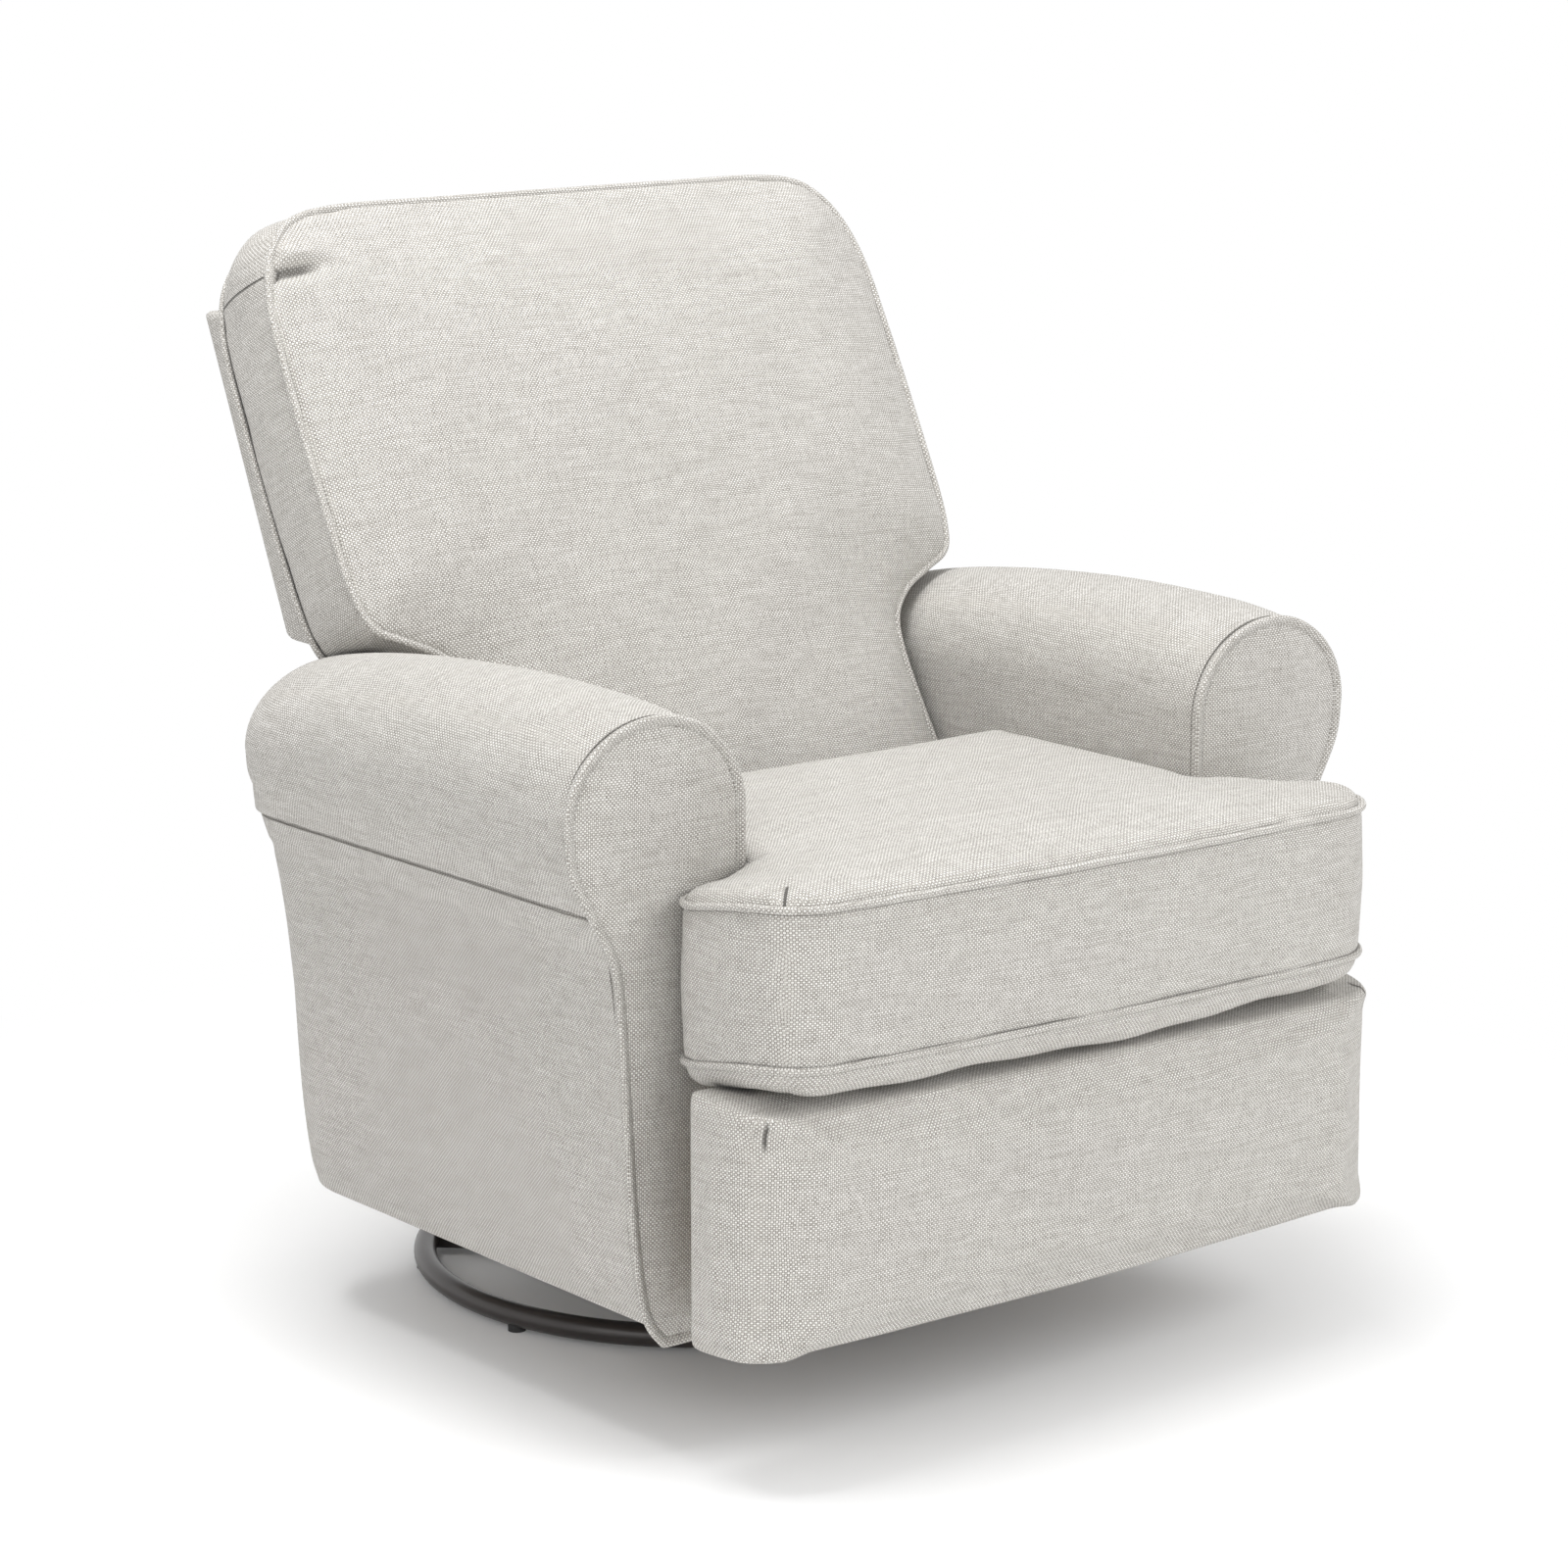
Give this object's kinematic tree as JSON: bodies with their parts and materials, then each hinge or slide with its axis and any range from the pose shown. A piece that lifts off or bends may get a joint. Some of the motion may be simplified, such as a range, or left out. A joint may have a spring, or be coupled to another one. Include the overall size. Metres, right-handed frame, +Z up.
{
  "type": "swivel glider recliner chair",
  "caption": "Upholstered swivel glider recliner with rolled arms, T seat cushion, pillow back, folding footrest and a round tube floor ring.",
  "frame": {"origin": "on the swivel axis, at the floor", "axes": "+Z up along the swivel axis; the chair faces -Y; +X is the sitter's left"},
  "size_m": [0.864, 0.8755, 0.977],
  "materials": {
    "cream_weave": "matte",
    "bronze_ring": "satin",
    "glide_rubber": "matte",
    "black_steel": "satin",
    "zinc_steel": "satin",
    "frame_wood": "matte",
    "lever_plastic": "satin"
  },
  "bodies": {
    "base": {"base_ring": "bronze_ring", "base_spider": "bronze_ring", "floor_glides": "glide_rubber", "lower_race": "zinc_steel", "bearing_balls": "zinc_steel", "king_bolt": "zinc_steel"},
    "swivel": {"upper_race": "zinc_steel", "swivel_plate": "black_steel", "swivel_bolts": "zinc_steel", "glider_upright_left": "black_steel", "glider_upright_right": "black_steel", "upper_glide_pins": "zinc_steel"},
    "front_links": {"front_glide_link_left": "black_steel", "front_glide_link_right": "black_steel"},
    "rear_links": {"rear_glide_link_left": "black_steel", "rear_glide_link_right": "black_steel"},
    "chair": {"carriage_rail_left": "black_steel", "carriage_rail_right": "black_steel", "front_cross_tube": "black_steel", "rear_cross_tube": "black_steel", "carriage_bolts": "zinc_steel", "lower_glide_pins": "zinc_steel", "arm_board_left": "frame_wood", "arm_board_right": "frame_wood", "arm_body_left": "cream_weave", "arm_body_right": "cream_weave", "arm_roll_left": "cream_weave", "arm_roll_right": "cream_weave", "arm_front_panel_left": "cream_weave", "arm_front_panel_right": "cream_weave", "rear_panel": "cream_weave", "slide_tracks": "black_steel", "lever_pivot": "zinc_steel", "lever_bezel": "lever_plastic"},
    "seat": {"seat_frame": "frame_wood", "seat_springs": "zinc_steel", "seat_cushion": "cream_weave", "seat_runners": "black_steel", "footrest_side_plate_left": "black_steel", "footrest_side_plate_right": "black_steel", "back_pivot_plates": "black_steel", "recline_pins": "zinc_steel"},
    "back": {"back_cushion": "cream_weave", "back_frame": "frame_wood", "back_springs": "zinc_steel", "outer_back": "cream_weave", "back_hinge_straps": "black_steel"},
    "drive_links": {"drive_tube": "black_steel", "tong_drive_link_left": "black_steel", "tong_drive_link_right": "black_steel"},
    "cross_links": {"tong_cross_link_left": "black_steel", "tong_cross_link_right": "black_steel"},
    "short_links": {"tong_short_link_left": "black_steel", "tong_short_link_right": "black_steel"},
    "footrest": {"footrest_link_left": "black_steel", "footrest_link_right": "black_steel", "footrest_screws": "zinc_steel", "footrest_board": "frame_wood", "footrest_pad": "cream_weave"},
    "lever": {"release_lever": "lever_plastic"}
  },
  "joints": [
    {"name": "swivel", "type": "hinge", "parent": "base", "child": "swivel", "pos_m": [0, 0, 0.03], "axis": [0, 0, 1], "continuous": true},
    {"name": "glide", "type": "hinge", "parent": "swivel", "child": "front_links", "pos_m": [0, -0.13, 0.265], "axis": [-1, 0, 0], "range_deg": [-18, 18]},
    {"name": "glide_level", "type": "hinge", "parent": "front_links", "child": "chair", "pos_m": [0, -0.13, 0.13], "axis": [-1, 0, 0], "range_deg": [-18, 18]},
    {"name": "glide_rear", "type": "hinge", "parent": "swivel", "child": "rear_links", "pos_m": [0, 0.03, 0.265], "axis": [-1, 0, 0], "range_deg": [-18, 18]},
    {"name": "seat_slide", "type": "slide", "parent": "chair", "child": "seat", "axis": [0, -1, 0], "range_m": [0, 0.0252]},
    {"name": "recline", "type": "hinge", "parent": "seat", "child": "back", "pos_m": [0, 0.04, 0.33], "axis": [-1, 0, 0], "range_deg": [0, 28]},
    {"name": "footrest_drive", "type": "hinge", "parent": "seat", "child": "drive_links", "pos_m": [0, -0.361, 0.335], "axis": [-1, 0, 0], "range_deg": [0, 90]},
    {"name": "tong_cross", "type": "hinge", "parent": "drive_links", "child": "cross_links", "pos_m": [0, -0.3432, 0.23406], "axis": [-1, 0, 0], "range_deg": [-150.5, 0]},
    {"name": "footrest_turn", "type": "hinge", "parent": "cross_links", "child": "footrest", "pos_m": [0, -0.38652, 0.32695], "axis": [-1, 0, 0], "range_deg": [0, 150.5]},
    {"name": "tong_short", "type": "hinge", "parent": "drive_links", "child": "short_links", "pos_m": [0, -0.3254, 0.13311], "axis": [-1, 0, 0], "range_deg": [-150.5, 0]},
    {"name": "release", "type": "hinge", "parent": "chair", "child": "lever", "pos_m": [-0.261, -0.285, 0.412], "axis": [-1, 0, 0], "range_deg": [0, 14], "stiffness_Nm_per_rad": 1.2}
  ],
  "couplings": [
    {"joint": "glide_level", "follows": "glide", "ratio": -1},
    {"joint": "glide_rear", "follows": "glide", "ratio": 1},
    {"joint": "seat_slide", "follows": "recline", "m_per_rad": 0.051157},
    {"joint": "tong_cross", "follows": "footrest_drive", "ratio": -1.6667},
    {"joint": "footrest_turn", "follows": "footrest_drive", "ratio": 1.6667},
    {"joint": "tong_short", "follows": "footrest_drive", "ratio": -1.6667}
  ]
}
